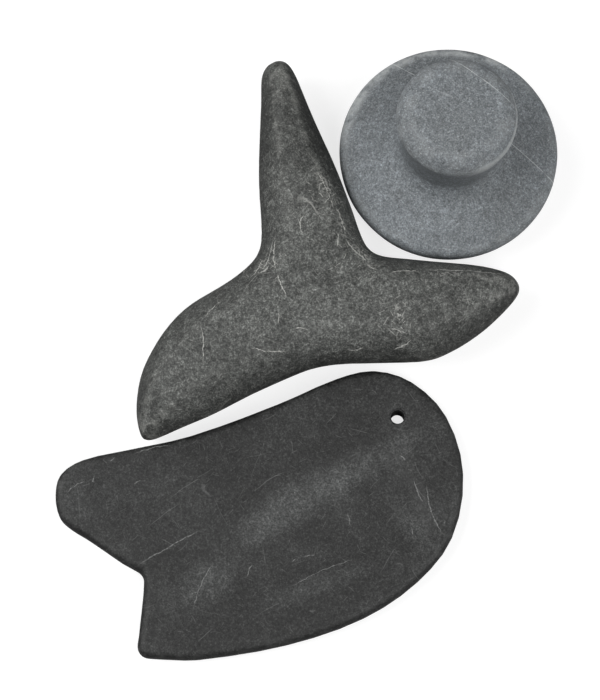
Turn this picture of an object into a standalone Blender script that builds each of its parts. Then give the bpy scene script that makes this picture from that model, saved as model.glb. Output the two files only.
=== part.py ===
"""Basalt massage stone set, as three loose stones lying side by side.

Metres, +Z up. The stones rest on the plane Z = 0, and the set is centred on the Z axis.
- three_arm_stone: a thick stone with a narrow upper arm, a short right arm and a broad lobe
- mushroom_stone: a turned cap with an off-centre knob to hold it by
- scraping_board: a flat fish-shaped board with a finger trough and a cord hole
"""

import math

import bmesh
import bpy
import numpy as np
from mathutils import Matrix, Vector
from mathutils.bvhtree import BVHTree
from mathutils.geometry import interpolate_bezier

MM = 0.001
TOLERANCE = 1e-6
SHARP_ANGLE = math.radians(35)
ROUGHNESS = 0.75

# Three-armed stone: reach of each arm from the hub's centre, and the stone's thickness there
UPPER_ARM_REACH = 0.0707
RIGHT_ARM_REACH = 0.0565
LOBE_REACH = 0.0628
HUB_THICKNESS = 0.0245
SHOULDER_INSET = 0.0056
CROWN_INSET = 0.0115
GROUND_OFF = 0.0006
UPPER_ARM_ANGLE = math.radians(99.2)
RIGHT_ARM_ANGLE = math.radians(3.0)
LOBE_ANGLE = math.radians(218.7)

# Hollows between the arms: distance from the hub's centre, and direction
LEFT_HOLLOW = (0.0214, math.radians(151.3))
RIGHT_HOLLOW = (0.0201, math.radians(42.4))
WAIST = (0.0197, math.radians(-76.8))

# Arm sections, hub to tip: share of the reach, then in millimetres the half width to the left
# and to the right of the arm's axis, then the share of the hub's thickness, and how far in
# millimetres the middle plane has dropped
UPPER_ARM = (
    (0.30, 12.9, 14.0, 0.97, 0.0),
    (0.50, 11.4, 11.4, 0.93, 0.0),
    (0.70, 8.9, 7.9, 0.84, 0.0),
    (0.86, 6.7, 5.3, 0.69, 0.2),
    (0.96, 5.0, 3.5, 0.49, 0.5),
)
RIGHT_ARM = (
    (0.42, 10.2, 19.8, 0.97, 0.0),
    (0.60, 8.7, 18.4, 0.92, 0.0),
    (0.78, 7.2, 12.9, 0.80, 0.2),
    (0.93, 4.7, 5.6, 0.55, 0.5),
)
LOBE = (
    (0.32, 12.9, 19.8, 0.97, 0.0),
    (0.50, 10.1, 20.9, 0.93, 0.2),
    (0.68, 7.8, 18.6, 0.84, 0.8),
    (0.84, 4.9, 13.5, 0.67, 2.0),
    (0.95, 2.6, 6.5, 0.45, 3.6),
)
SHOULDER_SHARE = 0.40
SHOULDER_RISE = 0.80
CROWN_SHARE = 0.72
CROWN_RISE = 0.965
ARM_SUBDIVISION = 2
FIT_ROUNDS = 8

# Mushroom stone
CAP_DIAMETER = 0.062
CAP_RIM_HEIGHT = 0.010
CAP_RIM_ROUND = 0.003
CAP_SLOPE_DEGREES = 22
BASE_DIAMETER = 0.047
CAP_RISE = 0.0165
KNOB_DIAMETER = 0.0336
KNOB_HEIGHT = 0.046
KNOB_EDGE = 0.0060
KNOB_CROWN = 0.0006
KNOB_EDGE_START_DEGREES = 85
NECK_DIAMETER = 0.0284
NECK_FILLET = 0.006
KNOB_LEAN = Vector((0.0009, 0.0007))
ARC_STEPS = 5
TURN_STEPS = 48
AXIS_WELD = 1e-5

# Scraping board
BOARD_LENGTH = 0.1132
BOARD_WIDTH = 0.0812
BOARD_THICKNESS = 0.0065
BOARD_EDGE = 0.0024
CORNER_RADIUS = 0.0032
TROUGH_DEPTH = 0.0012
TROUGH_WALL = 0.0010
HOLE_DIAMETER = 0.0036
HOLE_STEPS = 32
HOLE_FROM_NOSE = 0.0182
HOLE_FROM_BACK = 0.0137

# Board outline as shares of its length and width: from the tail's tip over the back to the belly,
# then up the straight flank to the notch and back along the tail
BOARD_BACK = (
    (0.000, 0.562), (0.012, 0.635), (0.066, 0.686), (0.178, 0.722), (0.330, 0.770),
    (0.545, 0.882), (0.687, 0.970), (0.782, 1.000), (0.876, 0.959), (0.960, 0.838),
    (1.000, 0.637), (0.971, 0.418), (0.886, 0.266), (0.755, 0.142), (0.570, 0.051),
    (0.352, 0.000), (0.262, 0.002),
)
BOARD_CORNER = (0.201, 0.007)
BOARD_FLANK = ((0.208, 0.072), (0.218, 0.221))
BOARD_NOTCH = (0.220, 0.287)
BOARD_TAIL = ((0.166, 0.329), (0.084, 0.408), (0.040, 0.446), (0.012, 0.485))

# Finger trough's border, as shares of the board's length and width, left edge past the board
TROUGH = (
    (0.120, 0.240), (0.345, 0.427), (0.530, 0.582), (0.722, 0.722), (0.790, 0.742),
    (0.855, 0.692), (0.905, 0.590), (0.930, 0.470), (0.932, 0.400), (0.890, 0.366),
    (0.722, 0.318), (0.578, 0.240), (0.430, 0.165), (0.300, 0.120), (0.120, 0.090),
)

# How the stones lie beside each other
STONE_GAP = 0.0004
UPRIGHT = 0.02
MUSHROOM_FROM_HUB = math.radians(53.6)
MUSHROOM_AIM = Vector((0.0152, 0.0136))
BOARD_AIM = Vector((-0.0164, -0.1400))
APPROACH_STEPS = 60

COLOURS = {
    "three_arm_stone": (0.075, 0.078, 0.074),
    "mushroom_stone": (0.155, 0.170, 0.180),
    "scraping_board": (0.055, 0.057, 0.055),
}


def clear_scene():
    for thing in list(bpy.data.objects):
        bpy.data.objects.remove(thing, do_unlink=True)


def new_collection(name):
    collection = bpy.data.collections.new(name)
    bpy.context.scene.collection.children.link(collection)
    return collection


def stone_material(name):
    material = bpy.data.materials.new(name)
    material.use_nodes = True
    shader = material.node_tree.nodes["Principled BSDF"]
    shader.inputs["Base Color"].default_value = (*COLOURS[name], 1.0)
    shader.inputs["Roughness"].default_value = ROUGHNESS
    shader.inputs["Metallic"].default_value = 0.0
    return material


def add_object(name, data, collection):
    thing = bpy.data.objects.new(name, data)
    collection.objects.link(thing)
    return thing


def baked(thing):
    """The evaluated shape of an object as a plain mesh, with its caps welded to its sides."""
    graph = bpy.context.evaluated_depsgraph_get()
    mesh = bpy.data.meshes.new_from_object(thing.evaluated_get(graph))
    bm = bmesh.new()
    bm.from_mesh(mesh)
    bmesh.ops.remove_doubles(bm, verts=bm.verts, dist=TOLERANCE)
    bm.to_mesh(mesh)
    bm.free()
    return mesh


def finished_stone(name, mesh, collection):
    mesh.materials.clear()
    mesh.materials.append(stone_material(name))
    stone = add_object(name, mesh, collection)
    mesh.shade_smooth()
    mesh.set_sharp_from_angle(angle=SHARP_ANGLE)
    return stone


def points_of(mesh):
    points = np.empty(len(mesh.vertices) * 3, np.float32)
    mesh.vertices.foreach_get("co", points)
    return points.reshape(-1, 3).astype(float)


# Three-armed stone


def half_section(rim, centre, thickness, middle):
    """One side of a section: its rim, then its shoulder and crown above, then both below."""
    inward = centre - rim
    shoulder_inset = min(SHOULDER_INSET, SHOULDER_SHARE * inward.length)
    crown_inset = min(CROWN_INSET, CROWN_SHARE * inward.length)
    shoulder = rim + inward.normalized() * shoulder_inset
    crown = rim + inward.normalized() * crown_inset
    half = thickness / 2
    return (
        Vector((*rim, middle)),
        Vector((*shoulder, middle + SHOULDER_RISE * half)),
        Vector((*crown, middle + CROWN_RISE * half)),
        Vector((*shoulder, middle - SHOULDER_RISE * half)),
        Vector((*crown, middle - CROWN_RISE * half)),
    )


def hollow_section(hollow):
    distance, direction = hollow
    rim = Vector((math.cos(direction), math.sin(direction))) * distance
    return half_section(rim, Vector((0.0, 0.0)), HUB_THICKNESS, 0.0)


class Cage:
    """The coarse quads that the three-armed stone's smooth surface passes through."""

    def __init__(self):
        self.points = []
        self.faces = []

    def add(self, point):
        self.points.append(point)
        return len(self.points) - 1

    def add_half(self, half):
        return [self.add(point) for point in half]

    def ring(self, left, right, top, bottom):
        """Twelve corners round an arm, from the left rim over the top to the right and back."""
        over = [left[0], left[1], left[2], top, right[2], right[1]]
        return over + [right[0], right[3], right[4], bottom, left[4], left[3]]

    def skin(self, near, far):
        for i in range(len(near)):
            j = (i + 1) % len(near)
            self.faces.append((near[i], near[j], far[j], far[i]))

    def cap(self, ring, tip):
        for i in range(0, len(ring), 2):
            self.faces.append((ring[i], ring[i + 1], ring[(i + 2) % len(ring)], tip))


def add_arm(cage, root, reach, angle, sections):
    """One arm, skinned from its root ring through its sections to a rounded tip."""
    along = Vector((math.cos(angle), math.sin(angle)))
    left_of = Vector((-along.y, along.x))
    near = root
    for share, left, right, thinning, drop in sections:
        spot = along * share * reach
        left_rim = spot + left_of * left * MM
        right_rim = spot - left_of * right * MM
        centre = (left_rim + right_rim) / 2
        thick = thinning * HUB_THICKNESS
        middle = -drop * MM
        far = cage.ring(
            cage.add_half(half_section(left_rim, centre, thick, middle)),
            cage.add_half(half_section(right_rim, centre, thick, middle)),
            cage.add(Vector((*centre, middle + thick / 2))),
            cage.add(Vector((*centre, middle - thick / 2))),
        )
        cage.skin(near, far)
        near = far
    tip = along * reach
    cage.cap(near, cage.add(Vector((*tip, middle))))


def arm_cage():
    cage = Cage()
    top = cage.add(Vector((0.0, 0.0, HUB_THICKNESS / 2)))
    bottom = cage.add(Vector((0.0, 0.0, -HUB_THICKNESS / 2)))
    left = cage.add_half(hollow_section(LEFT_HOLLOW))
    right = cage.add_half(hollow_section(RIGHT_HOLLOW))
    waist = cage.add_half(hollow_section(WAIST))
    add_arm(cage, cage.ring(left, right, top, bottom), UPPER_ARM_REACH, UPPER_ARM_ANGLE, UPPER_ARM)
    add_arm(cage, cage.ring(right, waist, top, bottom), RIGHT_ARM_REACH, RIGHT_ARM_ANGLE, RIGHT_ARM)
    add_arm(cage, cage.ring(waist, left, top, bottom), LOBE_REACH, LOBE_ANGLE, LOBE)
    return cage


def fit_cage(thing, targets):
    """Moves the cage until its smooth surface passes through the design points."""
    mesh = thing.data
    cage_points = targets.copy()
    for _ in range(FIT_ROUNDS):
        smooth = points_of(baked_plain(thing))[: len(targets)]
        cage_points += targets - smooth
        mesh.vertices.foreach_set("co", cage_points.ravel().astype(np.float32))
        mesh.update()


def baked_plain(thing):
    """The evaluated shape with its points in their own order."""
    bpy.context.view_layer.update()
    graph = bpy.context.evaluated_depsgraph_get()
    return bpy.data.meshes.new_from_object(thing.evaluated_get(graph))


def grind_flat(mesh, height):
    """Cuts the mesh off below a height, closes it with one flat face and sets it on Z = 0."""
    bm = bmesh.new()
    bm.from_mesh(mesh)
    everything = bm.verts[:] + bm.edges[:] + bm.faces[:]
    cut = bmesh.ops.bisect_plane(
        bm, geom=everything, plane_co=(0, 0, height), plane_no=(0, 0, -1), clear_outer=True
    )
    edges = [item for item in cut["geom_cut"] if isinstance(item, bmesh.types.BMEdge)]
    bmesh.ops.edgenet_fill(bm, edges=edges)
    bmesh.ops.translate(bm, verts=bm.verts, vec=(0, 0, -height))
    for vert in bm.verts:
        if abs(vert.co.z) < TOLERANCE:
            vert.co.z = 0.0
    bmesh.ops.recalc_face_normals(bm, faces=bm.faces)
    bm.to_mesh(mesh)
    bm.free()


def make_three_arm_stone(collection, helpers):
    cage = arm_cage()
    mesh = bpy.data.meshes.new("three_arm_cage")
    mesh.from_pydata(cage.points, [], cage.faces)
    thing = add_object("three_arm_cage", mesh, helpers)
    smooth = thing.modifiers.new("smooth", "SUBSURF")
    smooth.levels = smooth.render_levels = 1
    fit_cage(thing, points_of(mesh))
    smooth.levels = smooth.render_levels = ARM_SUBDIVISION
    stone = baked_plain(thing)
    bpy.data.objects.remove(thing)
    stone.name = "three_arm_stone"
    grind_flat(stone, GROUND_OFF - HUB_THICKNESS / 2)
    return finished_stone("three_arm_stone", stone, collection)


# Mushroom stone


def arc(centre, radius, start, end, steps):
    """Points (r, z) on a circular arc, both ends included, with angles in degrees."""
    for i in range(steps + 1):
        angle = math.radians(start + (end - start) * i / steps)
        yield (centre[0] + radius * math.cos(angle), centre[1] + radius * math.sin(angle))


def mushroom_profile():
    """The outer line (r, z) from the middle of the knob's top down to the middle of the base."""
    knob_edge = (KNOB_DIAMETER / 2 - KNOB_EDGE, KNOB_HEIGHT - KNOB_CROWN - KNOB_EDGE)
    hollow = (NECK_DIAMETER / 2 + NECK_FILLET, CAP_RISE + NECK_FILLET)
    cap_radius = CAP_DIAMETER / 2
    rim = (cap_radius - CAP_RIM_ROUND, CAP_RIM_HEIGHT)
    profile = [(0.0, KNOB_HEIGHT), (knob_edge[0] / 2, KNOB_HEIGHT - KNOB_CROWN / 3)]
    profile += arc(knob_edge, KNOB_EDGE, KNOB_EDGE_START_DEGREES, 0, ARC_STEPS)
    profile += arc(hollow, NECK_FILLET, 180, 270 - CAP_SLOPE_DEGREES, ARC_STEPS)
    profile += arc(rim, CAP_RIM_ROUND, 90 - CAP_SLOPE_DEGREES, 0, ARC_STEPS)
    base_radius = BASE_DIAMETER / 2
    for i in range(1, ARC_STEPS + 1):
        turn = math.radians(90 * i / ARC_STEPS)
        across = base_radius + (cap_radius - base_radius) * math.cos(turn)
        profile.append((across, CAP_RIM_HEIGHT * (1 - math.sin(turn))))
    profile.append((0.0, 0.0))
    return profile


def lean_knob(mesh):
    """Shifts the knob sideways, so that it stands a little off the cap's centre."""
    for vertex in mesh.vertices:
        share = min(max((vertex.co.z - CAP_RISE) / (KNOB_HEIGHT - CAP_RISE) * 2, 0.0), 1.0)
        blend = share * share * (3 - 2 * share)
        vertex.co.x += KNOB_LEAN.x * blend
        vertex.co.y += KNOB_LEAN.y * blend


def make_mushroom_stone(collection, helpers):
    profile = mushroom_profile()
    mesh = bpy.data.meshes.new("mushroom_profile")
    edges = [(i, i + 1) for i in range(len(profile) - 1)]
    mesh.from_pydata([(r, 0.0, z) for r, z in profile], edges, [])
    thing = add_object("mushroom_profile", mesh, helpers)
    turn = thing.modifiers.new("turn", "SCREW")
    turn.steps = turn.render_steps = TURN_STEPS
    turn.use_merge_vertices = True
    turn.merge_threshold = AXIS_WELD
    stone = baked(thing)
    bpy.data.objects.remove(thing)
    stone.name = "mushroom_stone"
    lean_knob(stone)
    return finished_stone("mushroom_stone", stone, collection)


# Scraping board


def board_point(share):
    """A point of the board from shares of its length and width, measured from its lower left."""
    return Vector((share[0] * BOARD_LENGTH, share[1] * BOARD_WIDTH))


def rounded_corner(before, corner, after, radius, steps=4):
    """Points of the arc that rounds a corner between two straight sides."""
    back = (before - corner).normalized()
    ahead = (after - corner).normalized()
    half = back.angle(ahead) / 2
    middle = corner + (back + ahead).normalized() * radius / math.sin(half)
    first = corner + back * radius / math.tan(half) - middle
    sweep = first.angle_signed(corner + ahead * radius / math.tan(half) - middle)
    points = []
    for i in range(steps + 1):
        turned = first.copy()
        turned.rotate(Matrix.Rotation(-sweep * i / steps, 2))
        points.append(middle + turned)
    return points


def smooth_through(points, steps):
    """A smooth curve through the points: at each one it runs parallel to its neighbours' chord."""
    ends = [points[0] * 2 - points[1], *points, points[-1] * 2 - points[-2]]
    found = [points[0]]
    for a, b, c, d in zip(ends, ends[1:], ends[2:], ends[3:]):
        reach = (c - b).length / 3
        handle = b + (c - a).normalized() * reach
        next_handle = c - (d - b).normalized() * reach
        curve = interpolate_bezier(b, handle, next_handle, c, steps + 1)
        found += [point.to_2d() for point in curve[1:]]
    return found


def board_outline():
    back = [board_point(share) for share in BOARD_BACK]
    flank = [board_point(share) for share in BOARD_FLANK]
    tail = [board_point(share) for share in BOARD_TAIL]
    corner = rounded_corner(back[-1], board_point(BOARD_CORNER), flank[0], CORNER_RADIUS)
    notch = rounded_corner(flank[-1], board_point(BOARD_NOTCH), tail[0], CORNER_RADIUS)
    smooth = smooth_through(tail + back, 3)
    return smooth + corner + flank + notch


def plate(name, outline, thickness, edge, helpers):
    """A plate of a closed outline, centred on Z = 0, with its edges rounded."""
    curve = bpy.data.curves.new(name, "CURVE")
    curve.dimensions = "2D"
    curve.fill_mode = "BOTH"
    curve.extrude = thickness / 2 - edge
    curve.bevel_depth = edge
    curve.bevel_resolution = 2
    curve.offset = -edge
    line = curve.splines.new("POLY")
    line.points.add(len(outline) - 1)
    for point, place in zip(line.points, outline):
        point.co = (place.x, place.y, 0.0, 1.0)
    line.use_cyclic_u = True
    thing = add_object(name, curve, helpers)
    bpy.context.view_layer.update()
    mesh = baked(thing)
    bpy.data.objects.remove(thing)
    return mesh


def cutter(name, mesh, helpers):
    bm = bmesh.new()
    bm.from_mesh(mesh)
    bmesh.ops.recalc_face_normals(bm, faces=bm.faces)
    bm.to_mesh(mesh)
    bm.free()
    thing = add_object(name, mesh, helpers)
    thing.hide_render = True
    thing.display_type = "WIRE"
    return thing


def trough_cutter(helpers):
    outline = [board_point(share) for share in TROUGH]
    outline = smooth_through([*outline, outline[0]], 3)[:-1]
    height = 4 * TROUGH_DEPTH
    mesh = plate("trough", outline, height, TROUGH_WALL, helpers)
    for vertex in mesh.vertices:
        vertex.co.z += BOARD_THICKNESS - TROUGH_DEPTH + height / 2
    return cutter("trough_cutter", mesh, helpers)


def hole_cutter(helpers):
    bm = bmesh.new()
    bmesh.ops.create_cone(
        bm,
        cap_ends=True,
        segments=HOLE_STEPS,
        radius1=HOLE_DIAMETER / 2,
        radius2=HOLE_DIAMETER / 2,
        depth=3 * BOARD_THICKNESS,
    )
    mesh = bpy.data.meshes.new("cord_hole")
    place = (BOARD_LENGTH - HOLE_FROM_NOSE, BOARD_WIDTH - HOLE_FROM_BACK, 0.0)
    bmesh.ops.translate(bm, verts=bm.verts, vec=place)
    bm.to_mesh(mesh)
    bm.free()
    return cutter("cord_hole_cutter", mesh, helpers)


def make_scraping_board(collection, helpers):
    mesh = plate("board", board_outline(), BOARD_THICKNESS, BOARD_EDGE, helpers)
    for vertex in mesh.vertices:
        vertex.co.z += BOARD_THICKNESS / 2
        if vertex.co.z < TOLERANCE:
            vertex.co.z = 0.0
    bm = bmesh.new()
    bm.from_mesh(mesh)
    bmesh.ops.recalc_face_normals(bm, faces=bm.faces)
    bm.to_mesh(mesh)
    bm.free()
    blank = add_object("board_blank", mesh, helpers)
    for tool in (trough_cutter(helpers), hole_cutter(helpers)):
        cut = blank.modifiers.new(tool.name, "BOOLEAN")
        cut.operation = "DIFFERENCE"
        cut.object = tool
    bpy.context.view_layer.update()
    board = baked(blank)
    bpy.data.objects.remove(blank)
    board.name = "scraping_board"
    return finished_stone("scraping_board", board, collection)


# Layout


def flat_tree(mesh):
    """The faces of a mesh pressed flat onto Z = 0, for measuring gaps as seen from above."""
    points = [(vertex.co.x, vertex.co.y, 0.0) for vertex in mesh.vertices]
    faces = [tuple(face.vertices) for face in mesh.polygons if abs(face.normal.z) > UPRIGHT]
    return BVHTree.FromPolygons(points, faces)


def plan_gap(mesh, tree, others_tree, others, place):
    """The gap between two meshes as seen from above, with the first one moved to a place."""
    nearest = [others_tree.find_nearest((v.co.x + place.x, v.co.y + place.y, 0.0))[3]
               for v in mesh.vertices]
    nearest += [tree.find_nearest((v.co.x - place.x, v.co.y - place.y, 0.0))[3]
                for v in others.vertices]
    return min(nearest)


def bring_up(stone, fixed, start, direction):
    """Moves a stone from its start along a direction until the gap to the fixed one is left."""
    tree = flat_tree(stone.data)
    fixed_tree = flat_tree(fixed.data)
    place = start.copy()
    for _ in range(APPROACH_STEPS):
        step = plan_gap(stone.data, tree, fixed_tree, fixed.data, place) - STONE_GAP
        place += direction * step
        if step < TOLERANCE:
            break
    stone.location = (place.x, place.y, 0.0)


def lay_out(three_arm, mushroom, board):
    away = Vector((math.cos(MUSHROOM_FROM_HUB), math.sin(MUSHROOM_FROM_HUB)))
    bring_up(mushroom, three_arm, MUSHROOM_AIM + away * 2 * CAP_DIAMETER, -away)
    tail = BOARD_AIM - Vector((BOARD_LENGTH / 2, BOARD_WIDTH / 2))
    bring_up(board, three_arm, tail, Vector((0.0, 1.0)))


def centre_set(stones):
    bounds = np.array([points_of(s.data) + np.array(s.location) for s in stones], dtype=object)
    low = np.min([points.min(axis=0) for points in bounds], axis=0)
    high = np.max([points.max(axis=0) for points in bounds], axis=0)
    for stone in stones:
        stone.location.x -= (low[0] + high[0]) / 2
        stone.location.y -= (low[1] + high[1]) / 2


def main():
    clear_scene()
    stones = new_collection("basalt_massage_stone_set")
    helpers = new_collection("helpers")
    three_arm = make_three_arm_stone(stones, helpers)
    mushroom = make_mushroom_stone(stones, helpers)
    board = make_scraping_board(stones, helpers)
    lay_out(three_arm, mushroom, board)
    centre_set((three_arm, mushroom, board))


main()
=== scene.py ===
"""Looks of a set of three basalt massage stones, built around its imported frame.

Metres, +Z up, stones resting on Z = 0. Pattern sizes in the materials are in millimetres.
"""

import math

import bmesh
import bpy
import numpy as np
from bpy.props import FloatProperty, FloatVectorProperty, IntProperty, PointerProperty
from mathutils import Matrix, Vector
from mathutils.geometry import interpolate_bezier


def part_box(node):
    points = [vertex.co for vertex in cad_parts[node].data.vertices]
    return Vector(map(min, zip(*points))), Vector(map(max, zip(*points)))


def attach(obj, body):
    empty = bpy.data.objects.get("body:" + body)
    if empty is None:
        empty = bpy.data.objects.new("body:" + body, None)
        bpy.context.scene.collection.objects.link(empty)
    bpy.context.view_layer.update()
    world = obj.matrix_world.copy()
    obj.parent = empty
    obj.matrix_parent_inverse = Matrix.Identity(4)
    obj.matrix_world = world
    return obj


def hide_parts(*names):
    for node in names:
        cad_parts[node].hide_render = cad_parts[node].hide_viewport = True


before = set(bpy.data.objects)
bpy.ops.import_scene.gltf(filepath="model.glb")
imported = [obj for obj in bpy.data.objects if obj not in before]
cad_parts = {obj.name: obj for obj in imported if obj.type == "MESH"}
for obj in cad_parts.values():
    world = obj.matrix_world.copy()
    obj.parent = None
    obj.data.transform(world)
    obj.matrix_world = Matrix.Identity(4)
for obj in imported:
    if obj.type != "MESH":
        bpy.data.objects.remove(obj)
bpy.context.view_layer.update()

bl_info = {
    "name": "Basalt massage stones",
    "version": (1, 0, 0),
    "blender": (4, 5, 0),
    "location": "3D View > Sidebar > Stones",
    "description": "Three smooth basalt massage stones with worn, scratched and dusty faces",
    "category": "Add Mesh",
}

MM = 0.001
WELD = 1e-6
STONE_SHINE = 0.35
THREE_ARM = "three_arm_stone"
MUSHROOM = "mushroom_stone"
BOARD = "scraping_board"


# Node trees


class Signal:
    """One output of a node tree. Arithmetic on it adds the Math nodes that work it out."""

    def __init__(self, weave, socket):
        self.weave = weave
        self.socket = socket

    def __add__(self, other):
        return self.weave.maths("ADD", self, other)

    def __sub__(self, other):
        return self.weave.maths("SUBTRACT", self, other)

    def __mul__(self, other):
        return self.weave.maths("MULTIPLY", self, other)

    def __truediv__(self, other):
        return self.weave.maths("DIVIDE", self, other)

    def __radd__(self, other):
        return self.weave.maths("ADD", other, self)

    def __rsub__(self, other):
        return self.weave.maths("SUBTRACT", other, self)

    def __rmul__(self, other):
        return self.weave.maths("MULTIPLY", other, self)

    def __rtruediv__(self, other):
        return self.weave.maths("DIVIDE", other, self)

    def __abs__(self):
        return self.weave.maths("ABSOLUTE", self)


def total(signals):
    """The sum of several signals."""
    first, *others = signals
    return sum(others, first)


class Weave:
    """A node tree under construction, for a material or for geometry."""

    def __init__(self, tree):
        self.tree = tree

    def add(self, kind, settings=None, inputs=None, output=0):
        """Adds a node: its settings first, then the values or links of its sockets."""
        node = self.tree.nodes.new(kind)
        for name, value in (settings or {}).items():
            setattr(node, name, value)
        for key, value in (inputs or {}).items():
            if isinstance(value, Signal):
                self.tree.links.new(value.socket, node.inputs[key])
            else:
                node.inputs[key].default_value = value
        return Signal(self, node.outputs[output]) if node.outputs else None

    def other(self, signal, output):
        """Another output of the node that a signal comes from."""
        return Signal(self, signal.socket.node.outputs[output])

    def maths(self, operation, *values):
        return self.add("ShaderNodeMath", {"operation": operation}, dict(enumerate(values)))

    def vector(self, operation, *values):
        """A vector from Vector Math. Dot, distance and length give a number instead."""
        numeric = operation in ("DOT_PRODUCT", "DISTANCE", "LENGTH")
        inputs = dict(enumerate(values))
        return self.add("ShaderNodeVectorMath", {"operation": operation}, inputs, int(numeric))

    def scaled(self, vector, factor):
        return self.add(
            "ShaderNodeVectorMath", {"operation": "SCALE"}, {0: vector, "Scale": factor}
        )

    def part(self, vector, axis):
        """One part of a vector: X, Y or Z."""
        return self.add("ShaderNodeSeparateXYZ", None, {0: vector}, axis)

    def fade(self, value, start, end, low=0.0, high=1.0):
        """Runs smoothly from low to high as the value goes from start to end, and stops there."""
        return self.add(
            "ShaderNodeMapRange",
            {"interpolation_type": "SMOOTHSTEP"},
            {"Value": value, "From Min": start, "From Max": end, "To Min": low, "To Max": high},
        )

    def noise(self, place, size, detail=2.0, roughness=0.5, seed=0.0, output=0):
        """Cloudy values about 0.5 whose lumps are about as large as size."""
        return self.add(
            "ShaderNodeTexNoise",
            {"noise_dimensions": "4D"},
            {"Vector": place, "W": seed, "Scale": 1 / size, "Detail": detail, "Roughness": roughness},
            output,
        )


class Paint(Weave):
    """The shader tree of one stone. Places are Object coordinates in millimetres."""

    def __init__(self, name):
        self.material = bpy.data.materials.new(name)
        self.material.use_nodes = True
        super().__init__(self.material.node_tree)
        self.shader = self.tree.nodes["Principled BSDF"]
        self.place = self.scaled(self.add("ShaderNodeTexCoord", output="Object"), 1 / MM)
        self.plan = self.vector("MULTIPLY", self.place, (1.0, 1.0, 0.0))
        # Strokes follow this wavering plan, which strays up to about half a millimetre
        cloud = self.noise(self.place, 1.6, 2.0, 0.6, 61.0, "Color")
        wander = self.vector("SUBTRACT", cloud, (0.5, 0.5, 0.5))
        self.wavy = self.vector("ADD", self.plan, self.vector("MULTIPLY", wander, (1.1, 1.1, 0.0)))

    def mix(self, factor, first, second):
        """A colour between two colours."""
        colours = {6: first, 7: second}
        sockets = {k: (*c, 1.0) if isinstance(c, tuple) else c for k, c in colours.items()}
        return self.add("ShaderNodeMix", {"data_type": "RGBA"}, {0: factor, **sockets}, 2)

    def speckled(self, colour, grain, contrast):
        """A colour made lighter and darker by a grain, in even ratios."""
        return self.scaled(colour, self.maths("EXPONENT", grain * contrast))

    def upward(self):
        """1 where the surface faces up, 0 where it is upright."""
        normal = self.add("ShaderNodeNewGeometry", output="Normal")
        return self.part(normal, "Z")

    def attribute(self, name):
        return self.add("ShaderNodeAttribute", {"attribute_name": name}, output="Fac")

    def finish(self, colour, roughness, height, bump_depth):
        """Wires the colour, the roughness and a height map in millimetres to the shader."""
        bump = self.add(
            "ShaderNodeBump", None, {"Strength": 1.0, "Distance": bump_depth * MM, "Height": height}
        )
        self.tree.links.new(colour.socket, self.shader.inputs["Base Color"])
        self.tree.links.new(roughness.socket, self.shader.inputs["Roughness"])
        self.tree.links.new(bump.socket, self.shader.inputs["Normal"])
        self.shader.inputs["Specular IOR Level"].default_value = STONE_SHINE
        return self.material

    def grain(self, size, seed):
        """Salt and pepper grain about 0: mostly fine, with some of twice and of five times the size."""
        fine = self.noise(self.place, size, 2.0, 0.7, seed)
        middle = self.noise(self.place, 2 * size, 1.0, 0.5, seed + 0.3)
        coarse = self.noise(self.place, 5 * size, 1.0, 0.5, seed + 0.6)
        return (fine - 0.5) * 7.0 + (middle - 0.5) * 3.0 + (coarse - 0.5) * 1.6

    def flecks(self, size, share, seed):
        """Small bright crystals, each of its own strength."""
        moved = self.vector("ADD", self.scaled(self.place, 1 / size), (seed, 2 * seed, 3 * seed))
        cell = self.add("ShaderNodeTexVoronoi", None, {"Vector": moved, "Scale": 1.0})
        luck = self.add(
            "ShaderNodeTexWhiteNoise", None, {"Vector": self.other(cell, "Position")}
        )
        return self.fade(cell, 0.42, 0.12) * self.fade(luck, 1.0 - share, 1.0)

    def scratches(self, spacing, reach, width, share, seed):
        """Thin scratches turned every way, at most one to a cell: discs that the surface cuts."""
        wander = self.noise(self.place, 1.5 * reach, 1.0, 0.5, seed, "Color")
        bent = self.vector("ADD", self.place, self.scaled(wander, 0.5 * reach))
        moved = self.vector("ADD", self.scaled(bent, 1 / spacing), (seed, 3 * seed, 5 * seed))
        cell = self.add("ShaderNodeTexVoronoi", None, {"Vector": moved, "Scale": 1.0})
        centre = self.other(cell, "Position")
        offset = self.vector("SUBTRACT", moved, centre)
        luck_colour = self.other(cell, "Color")
        facing = self.vector("MULTIPLY_ADD", luck_colour, (2.0, 2.0, 0.8), (-1.0, -1.0, -0.4))
        across = abs(self.vector("DOT_PRODUCT", offset, self.vector("NORMALIZE", facing)))
        luck = self.add("ShaderNodeTexWhiteNoise", None, {"Vector": centre})
        line = self.fade(across * spacing, width / 2, 0.1 * width)
        ends = self.fade(cell * spacing, reach, 0.5 * reach)
        return line * ends * self.fade(luck, 1.0 - share, 1.0)

    def spot(self, centre, reach):
        """1 at a place and 0 beyond a distance from it, in plan."""
        return self.fade(self.vector("DISTANCE", self.plan, (*centre, 0.0)), reach, 0.0)

    def beyond(self, centre, direction):
        """How far a point lies past a centre in metres, along a direction, in millimetres."""
        start = sum(share * value for share, value in zip(direction, centre))
        return self.vector("DOT_PRODUCT", self.place, direction) - start / MM

    def patch(self, start, end, width):
        """A soft oval patch from one place to another, in plan."""
        centre = (Vector(start) + Vector(end)) / 2
        along = Vector(end) - Vector(start)
        angle = math.atan2(along.y, along.x)
        offset = self.vector("SUBTRACT", self.plan, (*centre, 0.0))
        turned = self.add(
            "ShaderNodeVectorRotate",
            {"rotation_type": "Z_AXIS"},
            {"Vector": offset, "Center": (0.0, 0.0, 0.0), "Angle": -angle},
        )
        shrunk = self.vector("MULTIPLY", turned, (2 / along.length, 2 / width, 0.0))
        return self.fade(self.vector("LENGTH", shrunk), 1.0, 0.1)

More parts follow.
